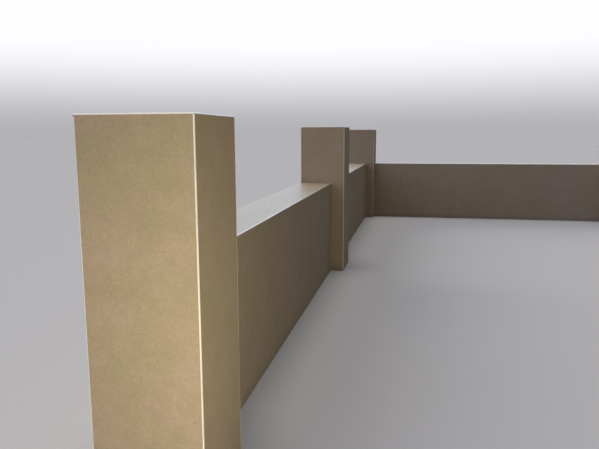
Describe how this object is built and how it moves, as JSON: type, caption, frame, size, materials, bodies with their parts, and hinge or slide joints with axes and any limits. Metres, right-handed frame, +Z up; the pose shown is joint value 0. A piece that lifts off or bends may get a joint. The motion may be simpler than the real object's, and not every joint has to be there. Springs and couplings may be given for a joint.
{
  "type": "rendered boundary wall",
  "caption": "Sand-coloured rendered boundary wall: low bays between taller square piers, turning a corner, with pale corner beads on every free arris.",
  "frame": {"origin": "on the ground under the middle of the corner pier, where the two runs meet", "axes": "+Z up; +X along the return run; -Y along the front run towards the entrance; the enclosed ground is at +X, -Y"},
  "size_m": [9.24, 9.24, 1.588],
  "materials": {
    "blockwork": "matte",
    "render": "matte",
    "corner_bead": "satin"
  },
  "bodies": {
    "root": {"bay_1_blocks": "blockwork", "bay_1_edge_beads": "corner_bead", "bay_1_inner_render": "render", "bay_1_outer_render": "render", "bay_1_top_render": "render", "bay_2_blocks": "blockwork", "bay_2_edge_beads": "corner_bead", "bay_2_inner_render": "render", "bay_2_outer_render": "render", "bay_2_top_render": "render", "bay_3_blocks": "blockwork", "bay_3_edge_beads": "corner_bead", "bay_3_inner_render": "render", "bay_3_outer_render": "render", "bay_3_top_render": "render", "bay_4_blocks": "blockwork", "bay_4_edge_beads": "corner_bead", "bay_4_inner_render": "render", "bay_4_outer_render": "render", "bay_4_top_render": "render", "pier_1_arris_beads": "corner_bead", "pier_1_blocks": "blockwork", "pier_1_side_render": "render", "pier_1_top_beads": "corner_bead", "pier_1_top_render": "render", "pier_2_arris_beads": "corner_bead", "pier_2_blocks": "blockwork", "pier_2_side_render": "render", "pier_2_top_beads": "corner_bead", "pier_2_top_render": "render", "pier_3_arris_beads": "corner_bead", "pier_3_blocks": "blockwork", "pier_3_side_render": "render", "pier_3_top_beads": "corner_bead", "pier_3_top_render": "render", "pier_4_arris_beads": "corner_bead", "pier_4_blocks": "blockwork", "pier_4_side_render": "render", "pier_4_top_beads": "corner_bead", "pier_4_top_render": "render", "pier_5_arris_beads": "corner_bead", "pier_5_blocks": "blockwork", "pier_5_side_render": "render", "pier_5_top_beads": "corner_bead", "pier_5_top_render": "render"}
  },
  "joints": []
}
